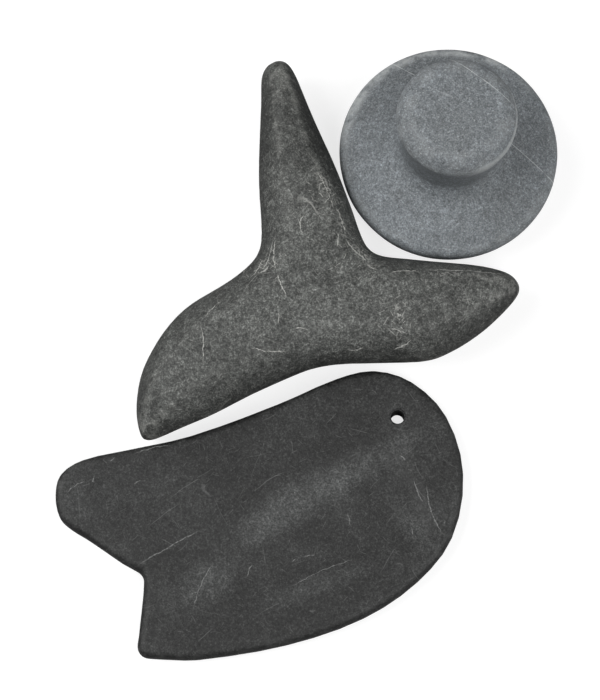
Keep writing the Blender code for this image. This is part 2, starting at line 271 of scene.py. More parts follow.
    def stroke(self, start, end, bow, width):
        """One scratch in plan, an arc from start to end that stands off its chord by bow."""
        first, last = Vector(start), Vector(end)
        chord = last - first
        sideways = Vector((-chord.y, chord.x)).normalized()
        radius = (chord.length**2 / 4 + bow**2) / (2 * bow)
        middle = (first + last) / 2 + sideways * bow
        centre = middle - sideways * radius
        off = abs(self.vector("DISTANCE", self.wavy, (*centre, 0.0)) - abs(radius))
        reach = chord.length / 2
        near = self.vector("DISTANCE", self.plan, (*middle, 0.0))
        return self.fade(off, width / 2, 0.1 * width) * self.fade(near, reach, 0.6 * reach)


# Meshes


def rows_of(items, key, kind, width):
    """One value of every item in a mesh, as the rows of an array."""
    values = np.empty(len(items) * width, kind)
    items.foreach_get(key, values)
    return values.reshape(-1, width)


def points_of(mesh):
    return rows_of(mesh.vertices, "co", np.float32, 3).astype(float)


def set_points(mesh, points):
    mesh.vertices.foreach_set("co", points.astype(np.float32).ravel())
    mesh.update()


def normals_of(mesh):
    return rows_of(mesh.vertex_normals, "vector", np.float32, 3).astype(float)


def edges_of(mesh):
    return rows_of(mesh.edges, "vertices", np.int32, 2)


def add_object(name, mesh):
    thing = bpy.data.objects.new(name, mesh)
    bpy.context.scene.collection.objects.link(thing)
    return thing


def made_plain(thing, name):
    """Replaces an object by a new one that holds its evaluated shape, and returns that."""
    bpy.context.view_layer.update()
    graph = bpy.context.evaluated_depsgraph_get()
    mesh = bpy.data.meshes.new_from_object(
        thing.evaluated_get(graph), preserve_all_data_layers=True, depsgraph=graph
    )
    bpy.data.objects.remove(thing)
    mesh.name = name
    return add_object(name, mesh)


def remeshed(mesh, voxel):
    """The mesh as an even skin of small quads."""
    thing = add_object("remesh", mesh)
    skin = thing.modifiers.new("skin", "REMESH")
    skin.mode = "VOXEL"
    skin.voxel_size = voxel
    skin.use_smooth_shade = True
    return made_plain(thing, "remeshed")


def spread(values, edges, rounds, weights):
    """Moves each vertex's values towards its neighbours' mean, by each weight in turn."""
    first, second = edges[:, 0], edges[:, 1]
    count = np.bincount(edges.ravel(), minlength=len(values))[:, None]
    for _ in range(rounds):
        for weight in weights:
            sums = np.empty_like(values)
            for axis in range(values.shape[1]):
                sums[:, axis] = np.bincount(first, values[second, axis], len(values))
                sums[:, axis] += np.bincount(second, values[first, axis], len(values))
            values = values + weight * (sums / count - values)
    return values


SHRINK_AND_GROW = (0.5, -0.52)
EVEN_OUT = (0.6,)


def soften(mesh, rounds):
    """Takes the facets off a mesh: each pass that shrinks it is followed by one that grows it."""
    points = spread(points_of(mesh), edges_of(mesh), rounds, SHRINK_AND_GROW)
    points[:, 2] = np.maximum(points[:, 2], 0.0)
    set_points(mesh, points)


def mark_edges(mesh, rounds):
    """Stores how far each vertex stands proud of the shape around it, in millimetres."""
    points = points_of(mesh)
    around = spread(points, edges_of(mesh), rounds, EVEN_OUT)
    proud = np.einsum("ij,ij->i", points - around, normals_of(mesh)) / MM
    layer = mesh.attributes.new("proud", "FLOAT", "POINT")
    layer.data.foreach_set("value", proud.astype(np.float32))


def smoothstep(values, start, end):
    share = np.clip((values - start) / (end - start), 0.0, 1.0)
    return share * share * (3 - 2 * share)


def mesh_of(bm, name):
    """The mesh that a bmesh has built. The bmesh is freed."""
    mesh = bpy.data.meshes.new(name)
    bm.to_mesh(mesh)
    bm.free()
    return mesh


def node_copy(node):
    """A merged copy of a CAD node's mesh, as an open bmesh."""
    bm = bmesh.new()
    bm.from_mesh(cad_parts[node].data)
    bmesh.ops.remove_doubles(bm, verts=bm.verts, dist=WELD)
    return bm


# Relief, shared by the three stones


def start_group(name, inputs):
    """An empty geometry node group with named inputs: its weave, their signals and identifiers."""
    tree = bpy.data.node_groups.new(name, "GeometryNodeTree")
    tree.interface.new_socket("Stone", in_out="OUTPUT", socket_type="NodeSocketGeometry")
    sockets = {}
    for label, kind in inputs.items():
        item = tree.interface.new_socket(label, in_out="INPUT", socket_type="NodeSocket" + kind)
        sockets[label] = item.identifier
    weave = Weave(tree)
    source = weave.add("NodeGroupInput")
    return weave, {label: weave.other(source, label) for label in sockets}, sockets


def end_group(weave, geometry, finish):
    """Gives the geometry its material and hands it on."""
    whole = weave.add("GeometryNodeRealizeInstances", None, {0: geometry})
    finished = weave.add(
        "GeometryNodeSetMaterial", None, {"Geometry": whole, "Material": finish}
    )
    weave.add("NodeGroupOutput", None, {0: finished})


RELIEF_INPUTS = {
    "Stone": "Geometry",
    "Dent Size": "Float",
    "Dent Depth": "Float",
    "Pit Size": "Float",
    "Pit Depth": "Float",
    "Base Band": "Float",
    "Seed": "Float",
    "Finish": "Material",
}


def relief_tree():
    """Geometry nodes that press shallow dents and small pits into a stone, away from its base."""
    weave, given, sockets = start_group("stone_relief", RELIEF_INPUTS)
    place = weave.scaled(weave.add("GeometryNodeInputPosition"), 1 / MM)
    height = weave.part(place, "Z")
    dent = weave.noise(place, given["Dent Size"], 1.5, 0.4, given["Seed"])
    pit = weave.noise(place, given["Pit Size"], 2.0, 0.5, given["Seed"] + 7.0)
    sunk = dent * given["Dent Depth"] + weave.fade(pit, 0.58, 0.78) * given["Pit Depth"]
    clear = weave.fade(height, 0.0, given["Base Band"])
    inward = weave.scaled(weave.add("GeometryNodeInputNormal"), sunk * clear * -MM)
    moved = weave.add("GeometryNodeSetPosition", None, {"Geometry": given["Stone"], "Offset": inward})
    end_group(weave, moved, given["Finish"])
    return weave.tree, sockets


def give_relief(thing, name, relief, finish, **values):
    """Presses the shared relief into a stone, gives it its finish and returns the plain piece."""
    tree, sockets = relief
    modifier = thing.modifiers.new("relief", "NODES")
    modifier.node_group = tree
    for key, value in values.items():
        modifier[sockets[key.replace("_", " ").title()]] = value
    modifier[sockets["Finish"]] = finish
    piece = made_plain(thing, name)
    piece.data.shade_smooth()
    return piece


def ride_for(piece, body, node):
    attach(piece, body)
    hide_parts(node)


def shared_relief():
    tree = bpy.data.node_groups.get("stone_relief")
    if tree is None:
        return relief_tree()
    inputs = [item for item in tree.interface.items_tree if item.in_out == "INPUT"]
    return tree, {item.name: item.identifier for item in inputs}


# Settings


def length(name, description, default):
    return FloatProperty(
        name=name, description=description, default=default, subtype="DISTANCE", unit="LENGTH"
    )


def colour(name, description, default):
    return FloatVectorProperty(
        name=name, description=description, default=default, subtype="COLOR"
    )


# Three-armed stone


class ThreeArmSettings(bpy.types.PropertyGroup):
    skin: length("Skin size", "Size of the surface's small faces", 0.0005)
    softening: IntProperty(
        name="Softening", description="Rounds that take the facets off", default=60, min=0
    )
    dent_depth: FloatProperty(
        name="Dent depth", description="Depth of the shallow dents, in millimetres", default=0.22
    )
    stone: colour("Stone", "Colour of the bare stone", (0.050, 0.052, 0.049))
    dust: colour("Dust", "Colour of the dusty, worn face", (0.108, 0.112, 0.106))
    scratch: colour("Scratch", "Colour of fresh scratches", (0.50, 0.50, 0.47))


# Scratches that can be told apart, in plan: start, end, bow and width, in millimetres
LONG_SCRATCHES = (
    ((-9.1, 28.0), (-8.9, 17.5), -0.87, 0.42),
    ((-8.9, 17.3), (-6.0, 10.0), -0.23, 0.42),
    ((-8.6, 6.0), (-8.5, 2.6), 0.12, 0.34),
    ((8.0, 29.4), (7.7, 24.8), 0.14, 0.40),
    ((-16.5, -3.6), (-5.6, -4.2), -0.60, 0.30),
    ((-4.2, 1.5), (-0.1, 1.2), 0.40, 0.30),
    ((10.0, -3.1), (15.2, -2.5), -0.30, 0.26),
    ((23.0, -3.0), (28.5, -0.6), -0.40, 0.28),
    ((22.2, 1.7), (25.7, 0.2), 0.51, 0.34),
    ((22.3, 17.6), (30.6, 18.4), 0.50, 0.40),
    ((30.7, 18.9), (56.5, 18.2), 0.53, 0.34),
    ((13.7, 23.7), (15.9, 20.2), 0.39, 0.40),
    ((15.9, 20.2), (18.7, 18.5), -0.24, 0.40),
    ((-15.0, 18.2), (-11.1, 20.5), -1.13, 0.36),
    ((1.9, 47.2), (6.9, 35.8), 0.43, 0.44),
    ((7.4, 37.0), (9.9, 29.2), 0.35, 0.40),
    ((9.9, 28.0), (16.8, 21.1), -0.70, 0.44),
    ((-30.3, 4.6), (-29.4, -9.0), 0.68, 0.34),
    ((-24.1, 10.0), (-29.0, 4.8), -0.40, 0.30),
    ((-13.1, 22.3), (-16.4, 16.5), 0.48, 0.34),
    ((-10.3, 27.1), (-13.1, 18.5), 0.53, 0.30),
    ((-1.2, 34.1), (-1.7, 28.3), -1.10, 0.34),
)


# Scratches too fine to place: spacing, reach, width, share of cells, seed and strength
THREE_ARM_LAYERS = (
    (11.0, 6.5, 0.34, 0.50, 1.3, 0.32),
    (6.0, 3.4, 0.30, 0.50, 2.7, 0.34),
    (3.0, 1.8, 0.28, 0.70, 4.1, 0.44),
    (1.8, 1.1, 0.26, 0.80, 5.3, 0.44),
)
# Where dust gathers, and where it is wiped off: centre, reach and strength
DUSTY_SPOTS = (
    ((-2.0, 32.0), 8.0, 0.40),
    ((3.7, 4.3), 12.0, 0.50),
    ((20.0, 8.0), 16.0, 0.20),
    ((-20.0, 4.0), 16.0, 0.10),
    ((-9.0, 62.0), 24.0, -0.45),
)
# The hollows between the arms: centre and reach
HOLLOWS = (
    ((13.0, 23.0), 12.0),
    ((-13.0, 21.0), 11.0),
    ((4.0, 40.0), 10.0),
    ((24.0, 5.0), 9.0),
)
# Chafed patches: start, end, width and strength
CHAFED = (
    ((2.0, 50.0), (7.6, 36.0), 4.8, 1.0),
    ((8.0, 35.0), (10.5, 27.0), 3.6, 0.7),
    ((10.5, 28.0), (19.0, 18.4), 4.8, 1.0),
    ((22.8, 10.0), (26.8, 1.4), 3.8, 1.0),
    ((-16.0, 18.0), (-9.0, 24.0), 5.0, 0.6),
    ((20.0, 17.8), (57.0, 18.0), 2.4, 0.6),
)


def three_arm_finish(settings):
    """Dark, dusty stone, scratched most in the hollows between its arms, with painted shade on its
    upright sides.
    """
    paint = Paint("dark_basalt")
    place = paint.place
    proud = paint.attribute("proud")
    clouds = paint.noise(place, 12.0, 3.0, 0.6, 1.0)
    blotches = paint.noise(place, 2.6, 3.0, 0.65, 2.0)
    grain = paint.grain(0.45, 3.0)
    gathered = total(paint.spot(*spot) * strength for *spot, strength in DUSTY_SPOTS)
    dusty = paint.fade(clouds, 0.36, 0.64) * 0.30 + paint.fade(blotches, 0.40, 0.64) * 0.40 + gathered
    tone = paint.mix(dusty, tuple(settings.stone), tuple(settings.dust))
    # Painted shade: the upright sides and the undersides of the rounded edges are darkened in the
    # colour itself, down to 0.45 where the surface stands upright
    tone = paint.scaled(tone, paint.fade(paint.upward(), 0.25, 0.85, 0.45, 1.0))
    pits = paint.fade(paint.noise(place, 1.1, 2.0, 0.6, 12.0), 0.56, 0.70)
    tone = paint.scaled(tone, 1.0 - pits * 0.45)
    tone = paint.speckled(tone, grain, 0.64)
    worn = paint.fade(proud, 0.05, 0.32) * paint.fade(blotches, 0.38, 0.62)
    busy = 0.35 + total(paint.spot(*hollow) for hollow in HOLLOWS) * 1.2
    lines = total(paint.scratches(*layer) * strength for *layer, strength in THREE_ARM_LAYERS)
    named = total(paint.stroke(*scratch) for scratch in LONG_SCRATCHES)
    rough = paint.noise(place, 0.8, 2.0, 0.6, 9.0)
    chafed = total(paint.patch(*patch) * strength for *patch, strength in CHAFED)
    flecks = paint.flecks(0.8, 0.5, 6.0)
    light = (
        lines * (busy + chafed) + named * paint.fade(rough, 0.38, 0.54, 0.25, 1.0) * 0.72
        + chafed * paint.fade(rough, 0.48, 0.60) * 0.55 + worn * 0.16 + flecks * 0.18
    )
    tone = paint.mix(paint.maths("MINIMUM", light, 0.85), tone, tuple(settings.scratch))
    roughness = 0.68 + grain * 0.05 - worn * 0.10
    height = grain * 0.5 - lines * 0.6 - named * 0.8 + blotches * 0.8 - pits * 0.8
    return paint.finish(tone, roughness, height, bump_depth=0.05)


class STONES_OT_three_arm(bpy.types.Operator):
    """Builds the three-armed stone"""

    bl_idname = "stones.three_arm"
    bl_label = "Three-armed stone"

    def execute(self, context):
        settings = context.scene.three_arm_stone
        thing = remeshed(mesh_of(node_copy(THREE_ARM), "three_arm_copy"), settings.skin)
        soften(thing.data, settings.softening)
        mark_edges(thing.data, rounds=40)
        piece = give_relief(
            thing, "three_arm_body", shared_relief(), three_arm_finish(settings),
            dent_size=9.0, dent_depth=settings.dent_depth, pit_size=1.5, pit_depth=0.06,
            base_band=1.5, seed=3.0,
        )
        ride_for(piece, "three_arm", THREE_ARM)
        return {"FINISHED"}


# Mushroom stone


class MushroomSettings(bpy.types.PropertyGroup):
    rim_height: length("Rim height", "Height of the cap's widest line", 0.010)
    rim_round: length("Rim round", "Radius of the cap's rounded rim", 0.003)
    base_diameter: length("Base diameter", "Width of the flat base", 0.047)
    cap_rise: length("Cap rise", "Height of the cap where the neck starts", 0.0165)
    knob_diameter: length("Knob diameter", "Widest part of the knob", 0.0336)
    knob_edge: length("Knob edge", "Radius of the knob's soft top edge", 0.0060)
    neck_diameter: length("Neck diameter", "Narrowest part under the knob", 0.0284)
    neck_fillet: length("Neck fillet", "Radius of the hollow where the neck meets the cap", 0.0060)
    lean: FloatVectorProperty(
        name="Lean", description="How far the knob stands off the cap's centre", size=2,
        default=(0.0009, 0.0007), subtype="TRANSLATION", unit="LENGTH",
    )
    stone: colour("Stone", "Colour of the stone", (0.152, 0.166, 0.176))
    rubbed: colour("Rubbed", "Colour of the rubbed, darker faces", (0.118, 0.126, 0.129))
    vein: colour("Vein", "Colour of the thin calcite vein", (0.52, 0.54, 0.54))


def arc(centre, radius, start, end, steps):
    """Points (r, z) on a circular arc, both ends included, with angles in degrees."""
    for i in range(steps + 1):
        angle = math.radians(start + (end - start) * i / steps)
        yield (centre[0] + radius * math.cos(angle), centre[1] + radius * math.sin(angle))


# The mushroom's profile: angles in degrees, heights in metres, and the steps along each stretch
CAP_SLOPE = 22
CAP_BULGE = 0.0003
KNOB_CROWN = 0.0006
KNOB_EDGE_START = 88
CROWN_STEPS = 6
EDGE_STEPS = 12
BEND_STEPS = 8


def mushroom_profile(settings, cap_radius, height):
    """The outer line (r, z) from the middle of the knob's top down to the middle of the base."""
    knob_radius = settings.knob_diameter / 2
    edge = settings.knob_edge
    neck = settings.neck_diameter / 2
    fillet = settings.neck_fillet
    flat = knob_radius - edge
    profile = [
        (flat * i / CROWN_STEPS, height - KNOB_CROWN * (i / CROWN_STEPS) ** 2)
        for i in range(CROWN_STEPS)
    ]
    profile += arc((flat, height - KNOB_CROWN - edge), edge, KNOB_EDGE_START, 0, EDGE_STEPS)
    hollow = (neck + fillet, settings.cap_rise + fillet)
    profile += arc(hollow, fillet, 180, 270 - CAP_SLOPE, BEND_STEPS)
    rim = settings.rim_height
    base = settings.base_diameter / 2
    foot = Vector(profile[-1])
    rim_centre = (cap_radius - settings.rim_round, rim)
    rim_arc = list(arc(rim_centre, settings.rim_round, 90 - CAP_SLOPE, 0, BEND_STEPS))
    for i in range(1, BEND_STEPS):
        across, level = foot.lerp(Vector(rim_arc[0]), i / BEND_STEPS)
        profile.append((across, level + CAP_BULGE * math.sin(math.pi * i / BEND_STEPS)))
    profile += rim_arc
    for i in range(1, BEND_STEPS + 1):
        turn = math.radians(90 * i / BEND_STEPS)
        profile.append((base + (cap_radius - base) * math.cos(turn), rim * (1 - math.sin(turn))))
    profile += [(base / 2, 0.0), (0.0, 0.0)]
    return profile


def profile_object(profile):
    """The profile as a smooth curve in the XZ plane."""
    curve = bpy.data.curves.new("mushroom_profile", "CURVE")
    curve.dimensions = "3D"
    line = curve.splines.new("POLY")
    line.points.add(len(profile) - 1)
    for point, (across, height) in zip(line.points, profile):
        point.co = (across, 0.0, height, 1.0)
    return add_object("mushroom_profile", curve)


TURNING_INPUTS = {
    "Profile": "Geometry",
    "Steps Round": "Int",
    "Steps Down": "Int",
    "Centre": "Vector",
    "Lean": "Vector",
    "Lean From": "Float",
    "Lean To": "Float",
    "Finish": "Material",
}
STEPS_ROUND = 300
STEPS_DOWN = 200


def turning_tree():
    """Geometry nodes that turn a profile round the Z axis and lean its upper part over."""
    weave, given, sockets = start_group("turned_stone", TURNING_INPUTS)
    sheet = weave.add(
        "GeometryNodeMeshGrid",
        None,
        {
            "Size X": 1.0,
            "Size Y": 1.0,
            "Vertices X": given["Steps Round"] + 1.0,
            "Vertices Y": given["Steps Down"],
        },
    )
    spot = weave.add("GeometryNodeInputPosition")
    round_share = weave.part(spot, "X") + 0.5
    down_share = weave.part(spot, "Y") + 0.5
    sample = weave.add(
        "GeometryNodeSampleCurve",
        {"mode": "FACTOR", "use_all_curves": True},
        {"Curves": given["Profile"], "Factor": down_share},
        "Position",
    )
    across = weave.part(sample, "X")
    height = weave.part(sample, "Z")
    turned = weave.add(
        "ShaderNodeVectorRotate",
        {"rotation_type": "Z_AXIS"},
        {
            "Vector": weave.add("ShaderNodeCombineXYZ", None, {0: across, 2: height}),
            "Center": (0.0, 0.0, 0.0),
            "Angle": round_share * math.tau,
        },
    )
    tipped = weave.scaled(given["Lean"], weave.fade(height, given["Lean From"], given["Lean To"]))
    there = weave.vector("ADD", weave.vector("ADD", turned, tipped), given["Centre"])
    skin = weave.add("GeometryNodeSetPosition", None, {"Geometry": sheet, "Position": there})
    closed = weave.add("GeometryNodeMergeByDistance", None, {"Geometry": skin, "Distance": WELD})
    outward = weave.add("GeometryNodeFlipFaces", None, {"Mesh": closed})
    end_group(weave, outward, given["Finish"])
    return weave.tree, sockets


def turned_stone(settings, low, high, finish):
    """The mushroom stone's turned shape, standing where its CAD node stands."""
    centre = (low + high) / 2
    profile = mushroom_profile(settings, (high.x - low.x) / 2, high.z)
    thing = profile_object(profile)
    tree, sockets = turning_tree()
    turn = thing.modifiers.new("turn", "NODES")
    turn.node_group = tree
    turn[sockets["Steps Round"]] = STEPS_ROUND
    turn[sockets["Steps Down"]] = STEPS_DOWN
    turn[sockets["Centre"]] = (centre.x, centre.y, 0.0)
    turn[sockets["Lean"]] = (*settings.lean, 0.0)
    turn[sockets["Lean From"]] = settings.cap_rise
    turn[sockets["Lean To"]] = (settings.cap_rise + high.z) / 2
    turn[sockets["Finish"]] = finish
    return made_plain(thing, "turned")


# The vein's plane: its direction in plan, how far it leans, and its distance from the cap's axis
VEIN_FACING = math.radians(52.1)
VEIN_TILT = math.radians(-2.9)
VEIN_OFFSET = 10.3
# Directions in plan, along which places are measured from the cap's and the knob's axes
TO_RIGHT = (0.94, -0.35, 0.0)
TO_BACK = (-0.35, 0.94, 0.0)
# Scratches too fine to place: spacing, reach, width, share of cells, seed and strength
MUSHROOM_LAYERS = (
    (8.0, 4.0, 0.28, 0.35, 31.0, 0.20),
    (2.6, 1.5, 0.26, 0.45, 33.0, 0.18),
)


def mushroom_finish(settings, centre, height):
    """Blue-grey stone with a fine even grain, one thin pale vein and a painted highlight on the knob's
    right edge.
    """
    paint = Paint("grey_basalt")
    place = paint.place
    proud = paint.attribute("proud")
    clouds = paint.noise(place, 16.0, 2.0, 0.5, 21.0)
    blotches = paint.noise(place, 4.0, 3.0, 0.6, 22.0)
    grain = paint.grain(0.42, 23.0)
    rubbed = paint.fade(clouds, 0.40, 0.70) * 0.35 + paint.fade(blotches, 0.45, 0.75) * 0.25
    tone = paint.mix(rubbed, tuple(settings.stone), tuple(settings.rubbed))
    tone = paint.speckled(tone, grain, 0.40)
    facing = Vector(
        (
            math.cos(VEIN_FACING) * math.cos(VEIN_TILT),
            math.sin(VEIN_FACING) * math.cos(VEIN_TILT),
            math.sin(VEIN_TILT),
        )
    )
    offset = VEIN_OFFSET + facing.dot(centre) / MM
    waver = (paint.noise(place, 9.0, 2.0, 0.5, 25.0) - 0.5) * 0.5
    depth = paint.vector("DOT_PRODUCT", place, tuple(facing)) - offset + waver
    broken = paint.fade(paint.noise(place, 2.6, 2.0, 0.6, 26.0), 0.36, 0.52, 0.25, 1.0)
    vein = paint.fade(abs(depth), 0.16, 0.04) * broken
    lines = total(paint.scratches(*layer) * strength for *layer, strength in MUSHROOM_LAYERS)
    flecks = paint.flecks(0.7, 0.45, 27.0)
    level = paint.part(place, "Z")
    handled = paint.fade(level, 0.55 * height / MM, 0.8 * height / MM)
    worn = paint.fade(proud, 0.03, 0.20) * paint.fade(blotches, 0.35, 0.60)
    rim = paint.vector("DISTANCE", paint.plan, (centre.x / MM, centre.y / MM, 0.0))
    to_back = paint.beyond(centre, TO_BACK)
    # Paler, speckled band along the back of the cap's rim
    pale_back_rim = paint.fade(rim, 26.8, 29.4) * paint.fade(to_back, 8.0, 24.0)
    lean = Vector((*settings.lean, 0.0)) + centre
    from_knob = paint.vector("DISTANCE", paint.plan, tuple(lean / MM))
    knob_edge = settings.knob_diameter / 2 / MM - 0.35
    to_right = paint.beyond(lean, TO_RIGHT)
    # Painted highlight: a thin pale line round the knob's edge on its right side only, where its rim
    # catches light
    painted_knob_highlight = (
        paint.fade(abs(from_knob - knob_edge), 0.5, 0.1) * paint.fade(to_right, 5.0, 13.0)
        * paint.fade(level, 0.5 * height / MM, 0.7 * height / MM)
    )
    knob_wear = paint.fade(from_knob, 9.0, 15.0) * handled * paint.fade(to_right, 12.0, 0.0)
    light = (
        vein * 0.60 + lines + flecks * (0.10 + handled * 0.16 + knob_wear * 0.24) + worn * 0.12
        + painted_knob_highlight * 0.34 + pale_back_rim * paint.fade(blotches, 0.30, 0.60) * 0.50
    )
    tone = paint.mix(paint.maths("MINIMUM", light, 0.85), tone, tuple(settings.vein))
    roughness = 0.70 + grain * 0.05
    rise = grain * 0.5 - lines * 0.5
    return paint.finish(tone, roughness, rise, bump_depth=0.045)


class STONES_OT_mushroom(bpy.types.Operator):
    """Turns the mushroom stone"""

    bl_idname = "stones.mushroom"
    bl_label = "Mushroom stone"

    def execute(self, context):
        settings = context.scene.mushroom_stone
        low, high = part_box(MUSHROOM)
        centre = Vector(((low.x + high.x) / 2, (low.y + high.y) / 2, 0.0))
        finish = mushroom_finish(settings, centre, high.z)
        thing = turned_stone(settings, low, high, finish)
        mark_edges(thing.data, rounds=30)
        piece = give_relief(
            thing, "mushroom_body", shared_relief(), finish,
            dent_size=11.0, dent_depth=0.30, pit_size=1.4, pit_depth=0.05,
            base_band=1.5, seed=11.0,
        )
        ride_for(piece, "mushroom", MUSHROOM)
        return {"FINISHED"}


# Scraping board


class BoardSettings(bpy.types.PropertyGroup):
    skin: length("Skin size", "Size of the surface's small faces", 0.00043)
    edge: length("Edge", "Radius of the board's rounded edge", 0.0024)
    trough_depth: length("Trough depth", "Depth of the finger trough", 0.0011)
    trough_wall: length("Trough wall", "Width of the trough's crisp wall", 0.0010)
    trough_slope: length("Trough slope", "Width of the trough's soft slope", 0.0080)
    hole_diameter: length("Hole diameter", "Width of the cord hole", 0.0036)
    hole_edge: length("Hole edge", "Radius of the cord hole's eased rim", 0.0004)
    stone: colour("Stone", "Colour of the bare stone", (0.0195, 0.0197, 0.0193))
    dust: colour("Dust", "Colour of dust on the face", (0.080, 0.083, 0.0815))
    scratch: colour("Scratch", "Colour of scratches and worn edges", (0.26, 0.265, 0.26))


# The trough's crisp wall and its soft slope, as shares of the board's length and width. Both run
# from the flank, where the trough is open, to where they meet near the nose.
TROUGH_WALL = (
    (0.100, 0.224), (0.345, 0.427), (0.530, 0.582), (0.722, 0.722), (0.790, 0.742),
    (0.855, 0.692), (0.905, 0.590), (0.930, 0.470), (0.926, 0.400),
)
TROUGH_SLOPE = (
    (0.100, 0.060), (0.300, 0.120), (0.430, 0.165), (0.578, 0.240), (0.722, 0.318),
    (0.926, 0.400),
)
TROUGH_STEPS = 8
# Between these shares of the board's length the wall turns from crisp to soft, and gets this much wider
WALL_SOFTENS = (0.25, 0.50)
WALL_SPREAD = 0.0040
# The share of the trough's depth that is left at the flank
FLANK_DEPTH = 0.40
# The slope starts and ends this far from its line, in shares of its width
SLOPE_SPAN = (-0.25, 0.75)
# The trough fades out between these shares of the board's thickness
SUNK_HEIGHTS = (0.5, 0.9)
EDGE_SEGMENTS = 6
HOLE_STEPS = 64
HOLE_EDGE_STEPS = 4


def smooth_through(points, steps):
    """A smooth curve through the points: at each one it runs parallel to its neighbours' chord."""
    ends = [points[0] * 2 - points[1], *points, points[-1] * 2 - points[-2]]
    found = [points[0]]
    for a, b, c, d in zip(ends, ends[1:], ends[2:], ends[3:]):
        reach = (c - b).length / 3
        handle = b + (c - a).normalized() * reach
        next_handle = c - (d - b).normalized() * reach
        curve = interpolate_bezier(b, handle, next_handle, c, steps + 1)
        found += [point.to_2d() for point in curve[1:]]
    return found


def distance_to(line, places):
    """Each place's distance to a line of points, and whether it lies to the line's right."""
    best = np.full(len(places), np.inf)
    right = np.zeros(len(places), bool)
    for start, end in zip(line, line[1:]):
        along = np.array(end - start)
        offset = places - np.array(start)
        share = np.clip(offset @ along / (along @ along), 0.0, 1.0)
        gap = np.linalg.norm(offset - share[:, None] * along, axis=1)
        side = offset[:, 0] * along[1] - offset[:, 1] * along[0] > 0
        closer = gap < best
        best = np.where(closer, gap, best)
        right = np.where(closer, side, right)
    return best, right


def section_loops(node, height):
    """The closed lines where a level cut meets a CAD node, the longest first."""
    bm = node_copy(node)
    everything = bm.verts[:] + bm.edges[:] + bm.faces[:]
    cut = bmesh.ops.bisect_plane(bm, geom=everything, plane_co=(0, 0, height), plane_no=(0, 0, 1))
    links = {}
    for item in cut["geom_cut"]:
        if isinstance(item, bmesh.types.BMEdge):
            for vert in item.verts:
                links.setdefault(vert, []).append(item.other_vert(vert))
    loops = []
    while links:
        vert = next(iter(links))
        loop = []
        while vert in links:
            loop.append(vert.co.to_2d())
            vert = next((v for v in links.pop(vert) if v in links), None)
        loops.append(loop)
    bm.free()
    return sorted(loops, key=len, reverse=True)


def slab(outline, thickness, edge):
    """A flat slab of a closed outline, with rounded edges."""
    bm = bmesh.new()
    base = bm.faces.new([bm.verts.new((*point, 0.0)) for point in outline])
    raised = bmesh.ops.extrude_face_region(bm, geom=[base])
    top = [item for item in raised["geom"] if isinstance(item, bmesh.types.BMVert)]
    bmesh.ops.translate(bm, verts=top, vec=(0, 0, thickness))
    bmesh.ops.recalc_face_normals(bm, faces=bm.faces)
    rims = [e for e in bm.edges if abs(e.verts[0].co.z - e.verts[1].co.z) < thickness / 2]
    bmesh.ops.bevel(
        bm, geom=rims, offset=edge, segments=EDGE_SEGMENTS, profile=0.5, affect="EDGES",
        clamp_overlap=False,
    )
    return mesh_of(bm, "slab")


def press_trough(mesh, settings, low, high):
    """Sinks the finger trough into the board's top: a crisp wall behind, a soft slope in front."""
    size = high - low
    curves = []
    for shares in (TROUGH_WALL, TROUGH_SLOPE):
        corners = [Vector((low.x + x * size.x, low.y + y * size.y)) for x, y in shares]
        curves.append(smooth_through(corners, TROUGH_STEPS))
    points = points_of(mesh)
    behind, right = distance_to(curves[0], points[:, :2])
    before, left = distance_to(curves[1], points[:, :2])
    inside_wall = np.where(right, behind, -behind)
    inside_slope = np.where(left, -before, before)
    soft_from, soft_to = (low.x + share * size.x for share in WALL_SOFTENS)
    softer = smoothstep(points[:, 0], soft_from, soft_to)
    sunk = smoothstep(inside_wall, 0.0, settings.trough_wall + WALL_SPREAD * softer)
    sunk *= smoothstep(inside_slope, *(share * settings.trough_slope for share in SLOPE_SPAN))
    upper = smoothstep(points[:, 2], *(share * size.z for share in SUNK_HEIGHTS))
    depth = settings.trough_depth * (FLANK_DEPTH + (1 - FLANK_DEPTH) * softer)
    points[:, 2] -= depth * sunk * upper
    set_points(mesh, points)


def drill(thing, centre, thickness, diameter, edge):
    """Drills the cord hole, with its rims eased."""
    radius = diameter / 2
    upper = arc((radius + edge, thickness - edge), edge, 180, 90, HOLE_EDGE_STEPS)
    lower = arc((radius + edge, edge), edge, 270, 180, HOLE_EDGE_STEPS)
    wall = [(radius + 2 * edge, -edge), *lower, *upper, (radius + 2 * edge, thickness + edge)]
    turns = [math.tau * i / HOLE_STEPS for i in range(HOLE_STEPS)]
    bm = bmesh.new()
    rings = [
        [bm.verts.new((centre.x + r * math.cos(t), centre.y + r * math.sin(t), z)) for t in turns]
        for r, z in wall
    ]
    for near, far in zip(rings, rings[1:]):
        for i in range(HOLE_STEPS):
            j = (i + 1) % HOLE_STEPS
            bm.faces.new((near[i], near[j], far[j], far[i]))
    bm.faces.new(rings[0][::-1])
    bm.faces.new(rings[-1])
    bmesh.ops.recalc_face_normals(bm, faces=bm.faces)
    tool = add_object("drill", mesh_of(bm, "drill"))
    cut = thing.modifiers.new("cord_hole", "BOOLEAN")
    cut.operation = "DIFFERENCE"
    cut.object = tool
    drilled = made_plain(thing, "drilled")
    bpy.data.objects.remove(tool)
    return drilled


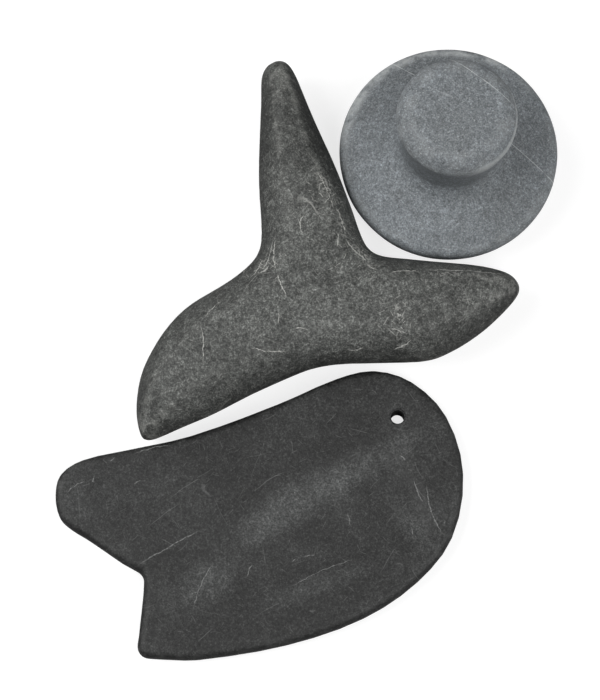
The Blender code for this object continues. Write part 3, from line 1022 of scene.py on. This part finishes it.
# The board's own scratches, as in LONG_SCRATCHES
BOARD_SCRATCHES = (
    ((-47.6, -61.5), (-29.6, -51.2), 0.15, 0.46),
    ((-67.1, -41.1), (-62.0, -37.6), 0.4, 0.36),
    ((-59.9, -38.2), (-59.5, -36.0), 0.1, 0.50),
    ((-48.5, -38.6), (-46.5, -37.6), 0.2, 0.36),
    ((-55.2, -32.2), (-53.6, -30.9), 0.2, 0.34),
    ((-48.9, -30.1), (-37.8, -27.5), 0.5, 0.44),
    ((28.7, -36.6), (31.7, -43.9), -0.4, 0.34),
    ((32.6, -38.6), (36.9, -52.8), -1.2, 0.42),
    ((-5.3, -67.3), (12.8, -59.3), 0.6, 0.28),
    ((-1.5, -58.8), (1.6, -58.2), 0.2, 0.36),
    ((-4.8, -60.2), (-3.7, -59.2), 0.1, 0.36),
    ((10.5, -46.6), (11.0, -50.0), 0.2, 0.40),
    ((27.9, -50.2), (28.3, -52.8), 0.2, 0.40),
    ((25.0, -30.4), (26.6, -32.0), 0.3, 0.40),
    ((-17.0, -64.6), (-15.6, -60.8), 0.3, 0.30),
    ((-32.0, -74.0), (-26.0, -60.0), 0.8, 0.30),
)


# Scratches too fine to place: spacing, reach, width, share of cells, seed and strength
BOARD_LAYERS = (
    (12.0, 6.0, 0.30, 0.40, 51.0, 0.22),
    (6.0, 3.0, 0.28, 0.45, 53.0, 0.20),
    (2.4, 1.3, 0.26, 0.50, 55.0, 0.18),
)
# Dusty patches: start, end, width and strength
BOARD_DUST = (
    ((-28.0, -59.0), (16.0, -31.0), 17.0, 0.62),
    ((-8.0, -46.0), (34.0, -23.0), 13.0, 0.45),
    ((-40.0, -75.0), (-18.0, -58.0), 17.0, 0.50),
    ((18.0, -34.0), (36.0, -62.0), 10.0, 0.30),
    ((-20.0, -76.0), (24.0, -58.0), 9.0, 0.35),
)


def board_finish(settings):
    """Near-black stone with a fine grain, dusty where the finger trough is handled, with painted shade
    on its upright sides.
    """
    paint = Paint("charcoal_basalt")
    place = paint.place
    proud = paint.attribute("proud")
    clouds = paint.noise(place, 15.0, 3.0, 0.55, 41.0)
    blotches = paint.noise(place, 3.6, 3.0, 0.62, 42.0)
    grain = paint.grain(0.45, 43.0)
    dust = total(paint.patch(*patch) * strength for *patch, strength in BOARD_DUST)
    broken_dust = dust * paint.fade(blotches, 0.20, 0.70, 0.4, 1.0)
    dusty = broken_dust + paint.fade(clouds, 0.40, 0.72) * 0.25
    tone = paint.mix(dusty, tuple(settings.stone), tuple(settings.dust))
    # Painted shade: the board's upright sides are darkened in the colour itself, down to half where the
    # surface stands upright
    tone = paint.scaled(tone, paint.fade(paint.upward(), 0.50, 0.96, 0.5, 1.0))
    tone = paint.speckled(tone, grain, 0.55)
    lines = total(paint.scratches(*layer) * strength for *layer, strength in BOARD_LAYERS)
    named = total(paint.stroke(*scratch) for scratch in BOARD_SCRATCHES)
    rough = paint.noise(place, 0.9, 2.0, 0.6, 46.0)
    worn = paint.fade(proud, 0.05, 0.20) * paint.fade(blotches, 0.46, 0.66)
    flecks = paint.flecks(0.8, 0.35, 47.0)
    light = (
        lines + named * paint.fade(rough, 0.35, 0.55, 0.3, 1.0) * 0.55
        + worn * 0.18 + flecks * 0.10
    )
    tone = paint.mix(paint.maths("MINIMUM", light, 0.8), tone, tuple(settings.scratch))
    roughness = 0.60 + dusty * 0.10 + grain * 0.05
    height = grain * 0.6 + blotches * 0.5 - lines * 0.8 - named * 0.8
    return paint.finish(tone, roughness, height, bump_depth=0.035)


class STONES_OT_board(bpy.types.Operator):
    """Builds the scraping board"""

    bl_idname = "stones.board"
    bl_label = "Scraping board"

    def execute(self, context):
        settings = context.scene.scraping_board
        low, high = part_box(BOARD)
        outline, hole = section_loops(BOARD, high.z / 2)[:2]
        thing = remeshed(slab(outline, high.z, settings.edge), settings.skin)
        soften(thing.data, rounds=12)
        press_trough(thing.data, settings, low, high)
        soften(thing.data, rounds=1)
        mark_edges(thing.data, rounds=16)
        centre = sum(hole, Vector((0.0, 0.0))) / len(hole)
        thing = drill(thing, centre, high.z, settings.hole_diameter, settings.hole_edge)
        piece = give_relief(
            thing, "board_body", shared_relief(), board_finish(settings),
            dent_size=10.0, dent_depth=0.12, pit_size=1.6, pit_depth=0.03,
            base_band=1.0, seed=23.0,
        )
        ride_for(piece, "board", BOARD)
        return {"FINISHED"}


# Stage


class StageSettings(bpy.types.PropertyGroup):
    floor: colour("Floor", "Colour of the floor", (0.33, 0.33, 0.33))
    floor_glow: FloatProperty(
        name="Floor glow", description="How brightly the floor itself shines, as on a light table",
        default=0.76, min=0.0,
    )
    sky: FloatProperty(name="Sky", description="Strength of the light all round", default=0.05)
    distance: length("Camera distance", "From the camera to the set", 0.85)
    elevation: FloatProperty(
        name="Camera elevation", description="Height of the camera above the horizon",
        default=math.radians(76), subtype="ANGLE", unit="ROTATION",
    )
    lens: FloatProperty(
        name="Lens", description="Focal length", default=155.1, subtype="DISTANCE_CAMERA",
        unit="CAMERA",
    )


CAMERA_AIM = Vector((-2.57, 1.25, 0.0)) * MM
SENSOR = 36.0
CLIP_START = 0.01


def add_camera(settings):
    data = bpy.data.cameras.new("camera")
    data.lens = settings.lens
    data.sensor_fit = "VERTICAL"
    data.sensor_height = data.sensor_width = SENSOR
    data.clip_start = CLIP_START
    camera = add_object("camera", data)
    back = Vector((0.0, -math.cos(settings.elevation), math.sin(settings.elevation)))
    camera.location = CAMERA_AIM + back * settings.distance
    camera.rotation_euler = (math.radians(90) - settings.elevation, 0.0, 0.0)
    bpy.context.scene.camera = camera


# Soft lights: name, direction round the set and height above the floor in degrees, and power
WINDOWS = (
    ("window_left", 180, 50, 7.4),
    ("window_front", 315, 50, 5.4),
    ("window_back", 135, 37, 3.0),
    ("window_right", 0, 25, 3.0),
)
WINDOW_DISTANCE = 1.0
WINDOW_SIZE = 0.6


def add_window(name, azimuth, elevation, power):
    """A large soft square light that faces the middle of the set."""
    across = WINDOW_DISTANCE * math.cos(math.radians(elevation))
    place = (
        across * math.cos(math.radians(azimuth)),
        across * math.sin(math.radians(azimuth)),
        WINDOW_DISTANCE * math.sin(math.radians(elevation)),
    )
    data = bpy.data.lights.new(name, "AREA")
    data.energy = power
    data.size = WINDOW_SIZE
    light = add_object(name, data)
    light.location = place
    light.rotation_euler = (-Vector(place)).to_track_quat("-Z", "Y").to_euler()


FLOOR_REACH = 2.0
FLOOR_ROUGHNESS = 0.9
FLOOR_SHINE = 0.1


def add_floor(settings):
    """A plain pale floor. Its glow is seen by the camera only, so that it lights no stone."""
    bm = bmesh.new()
    bmesh.ops.create_grid(bm, x_segments=1, y_segments=1, size=FLOOR_REACH)
    mesh = mesh_of(bm, "floor")
    material = bpy.data.materials.new("pale_floor")
    material.use_nodes = True
    shader = material.node_tree.nodes["Principled BSDF"]
    shader.inputs["Base Color"].default_value = (*settings.floor, 1.0)
    shader.inputs["Emission Strength"].default_value = settings.floor_glow
    seen = material.node_tree.nodes.new("ShaderNodeLightPath")
    material.node_tree.links.new(seen.outputs["Is Camera Ray"], shader.inputs["Emission Color"])
    shader.inputs["Roughness"].default_value = FLOOR_ROUGHNESS
    shader.inputs["Specular IOR Level"].default_value = FLOOR_SHINE
    mesh.materials.append(material)
    floor = add_object("floor", mesh)


def add_sky(settings):
    world = bpy.data.worlds.new("soft_sky")
    world.use_nodes = True
    shader = world.node_tree.nodes["Background"]
    shader.inputs["Color"].default_value = (1.0, 1.0, 1.0, 1.0)
    shader.inputs["Strength"].default_value = settings.sky
    bpy.context.scene.world = world


class STONES_OT_stage(bpy.types.Operator):
    """Adds the floor, the light and the camera"""

    bl_idname = "stones.stage"
    bl_label = "Stage"

    def execute(self, context):
        settings = context.scene.stone_stage
        add_camera(settings)
        add_floor(settings)
        add_sky(settings)
        for window in WINDOWS:
            add_window(*window)
        context.scene.view_settings.view_transform = "Standard"
        return {"FINISHED"}


# Add-on


class STONES_PT_sidebar(bpy.types.Panel):
    """The stones' tools, in the sidebar of the 3D view"""

    bl_idname = "STONES_PT_sidebar"
    bl_label = "Basalt massage stones"
    bl_space_type = "VIEW_3D"
    bl_region_type = "UI"
    bl_category = "Stones"

    def draw(self, context):
        for operator in OPERATORS:
            self.layout.operator(operator.bl_idname)
        for name in SETTINGS:
            group = getattr(context.scene, name)
            box = self.layout.box()
            box.label(text=name.replace("_", " ").capitalize())
            for key in group.bl_rna.properties.keys():
                if key not in ("rna_type", "name"):
                    box.prop(group, key)


SETTINGS = {
    "three_arm_stone": ThreeArmSettings,
    "mushroom_stone": MushroomSettings,
    "scraping_board": BoardSettings,
    "stone_stage": StageSettings,
}
OPERATORS = (STONES_OT_stage, STONES_OT_three_arm, STONES_OT_mushroom, STONES_OT_board)


def register():
    for name, group in SETTINGS.items():
        bpy.utils.register_class(group)
        setattr(bpy.types.Scene, name, PointerProperty(type=group))
    for tool in (*OPERATORS, STONES_PT_sidebar):
        bpy.utils.register_class(tool)


def unregister():
    for tool in (*OPERATORS, STONES_PT_sidebar):
        bpy.utils.unregister_class(tool)
    for name, group in SETTINGS.items():
        delattr(bpy.types.Scene, name)
        bpy.utils.unregister_class(group)


def main():
    register()
    bpy.ops.stones.stage()
    bpy.ops.stones.three_arm()
    bpy.ops.stones.mushroom()
    bpy.ops.stones.board()


if __name__ == "__main__":
    main()
